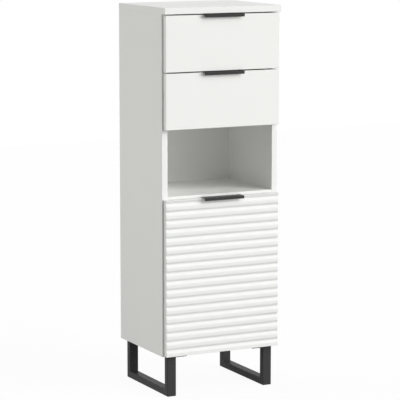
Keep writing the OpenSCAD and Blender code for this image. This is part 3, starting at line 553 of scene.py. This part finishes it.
# %% Build the coat group
coat, given, made = open_group(
    "coat_skin",
    [("Vector", VECTOR), ("Colour", COLOUR), ("Cloud Scale", VALUE), ("Cloud", VALUE),
     ("Peel Scale", VALUE), ("Grain Scale", VALUE), ("Grain Share", VALUE), ("Speck", VALUE),
     ("Roughness", VALUE), ("Roughness Spread", VALUE)],
    [("Colour", COLOUR), ("Roughness", VALUE), ("Height", VALUE)])
cloud = noise(coat, given.outputs["Vector"], given.outputs["Cloud Scale"], detail=3.0)
peel = noise(coat, given.outputs["Vector"], given.outputs["Peel Scale"], detail=1.0)
grain = noise(coat, given.outputs["Vector"], given.outputs["Grain Scale"], detail=2.0)
tone = swung(coat, cloud, given.outputs["Cloud"], 1.0)
tone = swung(coat, grain, given.outputs["Speck"], tone)
link(coat, shaded(coat, given.outputs["Colour"], tone), made.inputs["Colour"])
link(coat, swung(coat, cloud, given.outputs["Roughness Spread"], given.outputs["Roughness"]),
     made.inputs["Roughness"])
skin = math_node(coat, "MULTIPLY", peel,
                 math_node(coat, "SUBTRACT", 1.0, given.outputs["Grain Share"]))
link(coat, math_node(coat, "MULTIPLY_ADD", grain, given.outputs["Grain Share"], skin),
     made.inputs["Height"])
print("coat group nodes", len(coat.nodes))

# %% [markdown]
# The metal group
# Strip steel keeps the long scratches of its rolling. Noise that is squeezed along one
# direction and stretched along another draws them, and a second, unsqueezed noise adds the
# cloudy tarnish of thin plating.

# %% Build the metal group
metal, given, made = open_group(
    "rolled_skin",
    [("Vector", VECTOR), ("Stretch", VECTOR), ("Colour", COLOUR), ("Line Scale", VALUE),
     ("Line Shade", VALUE), ("Cloud Scale", VALUE), ("Cloud", VALUE), ("Roughness", VALUE),
     ("Roughness Spread", VALUE)],
    [("Colour", COLOUR), ("Roughness", VALUE), ("Height", VALUE)])
squeezed = metal.nodes.new("ShaderNodeVectorMath")
squeezed.operation = "MULTIPLY"
link(metal, given.outputs["Vector"], squeezed.inputs[0])
link(metal, given.outputs["Stretch"], squeezed.inputs[1])
lines = noise(metal, squeezed.outputs[0], given.outputs["Line Scale"], detail=3.0)
cloud = noise(metal, given.outputs["Vector"], given.outputs["Cloud Scale"], detail=2.0)
tone = swung(metal, lines, given.outputs["Line Shade"], 1.0)
tone = swung(metal, cloud, given.outputs["Cloud"], tone)
link(metal, shaded(metal, given.outputs["Colour"], tone), made.inputs["Colour"])
link(metal, swung(metal, lines, given.outputs["Roughness Spread"], given.outputs["Roughness"]),
     made.inputs["Roughness"])
link(metal, lines, made.inputs["Height"])
print("metal group nodes", len(metal.nodes))

# %% [markdown]
# Finishes
# Each of the cabinet's slots gets one material. A coat or a metal is a group with its own
# values, a bump for the skin, and the shader's plain numbers for metal, gloss and sheen.


# %% Build a finish
COAT_CLOUD_SCALE = 7.0
METAL_CLOUD_SCALE = 60.0


def finish(slot, group, values, bump_mm, metallic=0.0, specular=0.5):
    """A material named for its slot: the group's colour, roughness and height on a shader."""
    material = bpy.data.materials.new(slot)
    material.use_nodes = True
    tree = material.node_tree
    shader = tree.nodes["Principled BSDF"]
    place = tree.nodes.new("ShaderNodeTexCoord").outputs["Object"]
    skin = tree.nodes.new("ShaderNodeGroup")
    skin.node_tree = group
    link(tree, place, skin.inputs["Vector"])
    for label, value in values.items():
        skin.inputs[label].default_value = value
    bump = tree.nodes.new("ShaderNodeBump")
    bump.inputs["Distance"].default_value = bump_mm * MM
    link(tree, skin.outputs["Height"], bump.inputs["Height"])
    link(tree, skin.outputs["Colour"], shader.inputs["Base Color"])
    link(tree, skin.outputs["Roughness"], shader.inputs["Roughness"])
    link(tree, bump.outputs["Normal"], shader.inputs["Normal"])
    shader.inputs["Metallic"].default_value = metallic
    shader.inputs["Specular IOR Level"].default_value = specular
    return material


def coat_finish(slot, colour, cloud, peel_mm, grain_mm, grain_share, speck, roughness, spread,
                bump_mm, specular=0.5):
    """A coat from a colour and sizes in millimetres."""
    values = {"Colour": (*colour, 1), "Cloud Scale": COAT_CLOUD_SCALE, "Cloud": cloud,
              "Peel Scale": 1 / (peel_mm * MM), "Grain Scale": 1 / (grain_mm * MM),
              "Grain Share": grain_share, "Speck": speck, "Roughness": roughness,
              "Roughness Spread": spread}
    return finish(slot, coat, values, bump_mm, specular=specular)


def rolled_finish(slot, colour, line_mm, line_shade, cloud, roughness, spread, bump_mm,
                  stretch, metallic=1.0):
    """A metal, or a wood, from a colour, a line width in millimetres and the stretch of its
    lines along each axis."""
    values = {"Colour": (*colour, 1), "Line Scale": 1 / (line_mm * MM), "Line Shade": line_shade,
              "Cloud Scale": METAL_CLOUD_SCALE, "Cloud": cloud, "Roughness": roughness,
              "Roughness Spread": spread, "Stretch": stretch}
    return finish(slot, metal, values, bump_mm, metallic=metallic)


print("cloud scales of coat and metal", COAT_CLOUD_SCALE, METAL_CLOUD_SCALE)

# %% [markdown]
# White board and lacquer
# The carcass is board in a matt white coat and the fronts are satin lacquer. White is written a
# little below full white, so that light can still model it. The milled door has the same lacquer,
# a little duller in gloss. Its copy is also written darker than the fronts', which is painted
# shade that tones down its lit flutes.

# %% Finish the white parts
WHITE_COATS = {
    "white_lacquer": {
        "colour": (0.85, 0.853, 0.833), "cloud": 0.03, "peel_mm": 3.0, "grain_mm": 0.7,
        "grain_share": 0.6, "speck": 0.012, "roughness": 0.5, "spread": 0.1, "bump_mm": 0.02},
    "front_lacquer": {
        "colour": (0.86, 0.864, 0.838), "cloud": 0.02, "peel_mm": 2.6, "grain_mm": 0.5,
        "grain_share": 0.25, "speck": 0.006, "roughness": 0.36, "spread": 0.08,
        "bump_mm": 0.015, "specular": 0.45},
    # The door's copy of the lacquer is written darker than the fronts': painted shade that tones
    # down its lit flutes.
    "door_lacquer_painted_shade": {
        "colour": (0.832, 0.835, 0.818), "cloud": 0.02, "peel_mm": 2.6, "grain_mm": 0.5,
        "grain_share": 0.3, "speck": 0.006, "roughness": 0.4, "spread": 0.08,
        "bump_mm": 0.015, "specular": 0.35},
    # Written whiter than the carcass coat: painted light that lifts the back of the open
    # compartment, which lies in shade.
    "white_board": {
        "colour": (0.89, 0.89, 0.88), "cloud": 0.04, "peel_mm": 1.6, "grain_mm": 0.5,
        "grain_share": 0.7, "speck": 0.03, "roughness": 0.6, "spread": 0.1, "bump_mm": 0.03},
    "runner_steel": {
        "colour": (0.84, 0.84, 0.835), "cloud": 0.04, "peel_mm": 2.0, "grain_mm": 0.4,
        "grain_share": 0.3, "speck": 0.01, "roughness": 0.34, "spread": 0.1, "bump_mm": 0.02},
    "roller_plastic": {
        "colour": (0.82, 0.82, 0.8), "cloud": 0.05, "peel_mm": 1.2, "grain_mm": 0.3,
        "grain_share": 0.5, "speck": 0.02, "roughness": 0.38, "spread": 0.1, "bump_mm": 0.01},
}
finishes = {slot: coat_finish(slot, **values) for slot, values in WHITE_COATS.items()}
print("white finishes", sorted(finishes))

# %% [markdown]
# Black powder coat, plastic and rubber
# Powder coat on the pulls and legs is a fine black with a light speck on each grain. Seen from
# the front it mirrors almost nothing, and along a flat top it takes a grey sheen, so it has a
# weak reflection that isn't too blurred. The glides are moulded plastic and the door's bumpers
# a soft clear disc.

# %% Finish the black and soft parts
BLACK_AND_SOFT_COATS = {
    "black_steel": {
        "colour": (0.053, 0.053, 0.053), "cloud": 0.15, "peel_mm": 0.9, "grain_mm": 0.35,
        "grain_share": 0.55, "speck": 0.35, "roughness": 0.33, "spread": 0.12,
        "bump_mm": 0.05, "specular": 0.04},
    "glide_plastic": {
        "colour": (0.03, 0.03, 0.031), "cloud": 0.2, "peel_mm": 1.4, "grain_mm": 0.4,
        "grain_share": 0.5, "speck": 0.2, "roughness": 0.55, "spread": 0.12, "bump_mm": 0.03},
    "bumper_rubber": {
        "colour": (0.72, 0.73, 0.72), "cloud": 0.06, "peel_mm": 1.0, "grain_mm": 0.3,
        "grain_share": 0.4, "speck": 0.05, "roughness": 0.3, "spread": 0.1, "bump_mm": 0.01},
}
for slot, values in BLACK_AND_SOFT_COATS.items():
    finishes[slot] = coat_finish(slot, **values)
print("black and soft finishes", sorted(BLACK_AND_SOFT_COATS))

# %% [markdown]
# Bright metals and bare wood
# Screws and cam bolts are zinc plated, the hinges nickel plated, the cams cast. The dowels
# are beech, whose grain runs along them, so the noise is stretched the same way.

# %% Finish the metals and the dowels
ROLLED_AND_WOOD = {
    "bright_steel": {
        "colour": (0.62, 0.63, 0.65), "line_mm": 0.3, "line_shade": 0.25, "cloud": 0.15,
        "roughness": 0.32, "spread": 0.15, "bump_mm": 0.01, "stretch": (1, 0.15, 1)},
    "hinge_steel": {
        "colour": (0.66, 0.655, 0.64), "line_mm": 0.25, "line_shade": 0.2, "cloud": 0.1,
        "roughness": 0.26, "spread": 0.15, "bump_mm": 0.008, "stretch": (1, 0.1, 1)},
    "zinc": {
        "colour": (0.5, 0.5, 0.51), "line_mm": 0.6, "line_shade": 0.2, "cloud": 0.25,
        "roughness": 0.45, "spread": 0.15, "bump_mm": 0.03, "stretch": (1, 1, 1)},
    "beech": {
        "colour": (0.6, 0.42, 0.25), "line_mm": 0.4, "line_shade": 0.5, "cloud": 0.2,
        "roughness": 0.62, "spread": 0.1, "bump_mm": 0.04, "stretch": (0.08, 1, 1),
        "metallic": 0.0},
}
for slot, values in ROLLED_AND_WOOD.items():
    finishes[slot] = rolled_finish(slot, **values)
print("metal and wood finishes", sorted(ROLLED_AND_WOOD))

# %% [markdown]
# Dress every node
# New pieces take the finish of their slot, and so does each node that stays in view. The door
# alone takes the copy of the lacquer written darker as painted shade. The frame's own triangles
# are not touched; only their material changes.

# %% Put the finishes on
for name, obj in dressed.items():
    # The door takes the lacquer copy written darker as painted shade.
    own = "door_lacquer_painted_shade" if obj == door else obj["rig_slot"]
    obj.data.materials.clear()
    obj.data.materials.append(finishes[own])
for name, obj in nodes.items():
    obj.data.materials.clear()
    obj.data.materials.append(finishes[slot_of_node[name]])
print("dressed pieces", len(dressed), "nodes", len(nodes))

# %% [markdown]
# The studio
# The photograph is a cut-out look: pure white behind, and broad light from many sides. The
# floor is one large plane. It glows white where the camera or a mirror sees it, which leaves
# only a trace of the cabinet's shadow, and it is a mid grey for the light that bounces off it,
# so that the legs and the underside stay dark. A white plane would need no glow, but it would
# throw far too much light up into the flutes.

# %% Make the floor
FLOOR_HALF = 6.0
FLOOR_WHITE = 0.94
FLOOR_BOUNCE = 0.4
FLOOR_ROUGHNESS = 0.9


def seen_directly(tree):
    """1 for rays from the camera, a mirror or glass, and 0 for the rays that light things."""
    path_kind = tree.nodes.new("ShaderNodeLightPath")
    seen = math_node(tree, "MAXIMUM", path_kind.outputs["Is Camera Ray"],
                     path_kind.outputs["Is Glossy Ray"])
    return math_node(tree, "MAXIMUM", seen, path_kind.outputs["Is Transmission Ray"])


floor_corners = [(x, y, 0) for x, y in rectangle((-FLOOR_HALF, -FLOOR_HALF),
                                                 (FLOOR_HALF, FLOOR_HALF))]
floor_mesh = bpy.data.meshes.new("studio_floor")
floor_mesh.from_pydata(floor_corners, [], [(0, 1, 2, 3)])
floor = bpy.data.objects.new("studio_floor", floor_mesh)
bpy.context.scene.collection.objects.link(floor)
floor_paint = bpy.data.materials.new("studio_floor")
floor_paint.use_nodes = True
tree = floor_paint.node_tree
paint = tree.nodes["Principled BSDF"]
paint.inputs["Roughness"].default_value = FLOOR_ROUGHNESS
glow = tree.nodes.new("ShaderNodeEmission")
blend = tree.nodes.new("ShaderNodeMixShader")
seen = seen_directly(tree)
link(tree, math_node(tree, "MULTIPLY_ADD", seen, 1 - FLOOR_BOUNCE, FLOOR_BOUNCE),
     paint.inputs["Base Color"])
link(tree, math_node(tree, "MULTIPLY", seen, FLOOR_WHITE), blend.inputs["Fac"])
link(tree, paint.outputs["BSDF"], blend.inputs[1])
link(tree, glow.outputs["Emission"], blend.inputs[2])
link(tree, blend.outputs["Shader"], tree.nodes["Material Output"].inputs["Surface"])
floor_mesh.materials.append(floor_paint)
print("floor half width in metres", FLOOR_HALF)

# %% [markdown]
# The room's own light
# A studio's walls return a weak even light. The world stands for them: it looks white from the
# camera and lights the cabinet as a plain dark grey. A picture of a real studio could light it
# too, but one even grey keeps the shading of the white boards easy to steer.

# %% Make the world
WORLD_GREY = 0.24
world = bpy.data.worlds.new("studio")
bpy.context.scene.world = world
world.use_nodes = True
tree = world.node_tree
level = math_node(tree, "MULTIPLY_ADD", seen_directly(tree), 1 - WORLD_GREY, WORLD_GREY)
link(tree, level, tree.nodes["Background"].inputs["Strength"])
tree.nodes["Background"].inputs["Color"].default_value = (1, 1, 1, 1)
print("world grey", WORLD_GREY)

# %% [markdown]
# Four soft lamps
# Two broad lamps share the work of a key. The low one stands at the front right and reaches
# the back of the open compartment. The high one hangs nearer the middle and draws the soft
# shadows under the pulls and the shade in the flutes. One lamp lifts the left side, and one
# high behind the cabinet's left lights the top. Area lamps would do too, but a sun lights
# every height alike, as large lamps far off in a studio do.

# %% Hang the lamps
LAMPS = {
    "low_sun": {"azimuth": 52, "elevation": 10, "strength": 2.33, "spread": 30},
    "high_sun": {"azimuth": 32, "elevation": 38, "strength": 1.12, "spread": 40},
    "left_sun": {"azimuth": -100, "elevation": 8, "strength": 0.81, "spread": 30,
                 "colour": (1.0, 1.0, 0.96)},
    "back_sun": {"azimuth": -135, "elevation": 50, "strength": 0.7, "spread": 40},
}


def sun(name, azimuth, elevation, strength, spread, colour=(1.0, 1.0, 1.0)):
    """A far lamp. Its light arrives from an azimuth, counted from the front to the right, and
    from an elevation, both in degrees."""
    lamp = bpy.data.lights.new(name, "SUN")
    lamp.energy = strength
    lamp.color = colour
    lamp.angle = math.radians(spread)
    obj = bpy.data.objects.new(name, lamp)
    obj.rotation_euler = (math.radians(90 - elevation), 0, math.radians(azimuth))
    bpy.context.scene.collection.objects.link(obj)
    print(name, "from", azimuth, elevation, "strength", strength)


for name, aim in LAMPS.items():
    sun(name, **aim)

# %% [markdown]
# The camera
# The photograph was taken from the left and a little above with a long lens, six metres or
# more away, which keeps the cabinet's edges nearly parallel. A camera can be set by eye, but
# this one was worked out from where the cabinet's straight edges lie in the picture.

# %% Place the camera
CAMERA_AT = (-2.8292, -5.6376, 1.5427)
CAMERA_YAW = 26.65
CAMERA_PITCH = 8.595
CAMERA_LENS = 181.49
SENSOR_WIDTH = 36
camera = bpy.data.cameras.new("camera")
camera.lens = CAMERA_LENS
camera.sensor_width = SENSOR_WIDTH
camera_obj = bpy.data.objects.new("camera", camera)
camera_obj.location = CAMERA_AT
camera_obj.rotation_euler = (math.radians(90 - CAMERA_PITCH), 0, -math.radians(CAMERA_YAW))
bpy.context.scene.collection.objects.link(camera_obj)
bpy.context.scene.camera = camera_obj
bpy.context.scene.view_settings.view_transform = "Standard"
print("camera at", CAMERA_AT, "with a lens of", CAMERA_LENS, "mm")
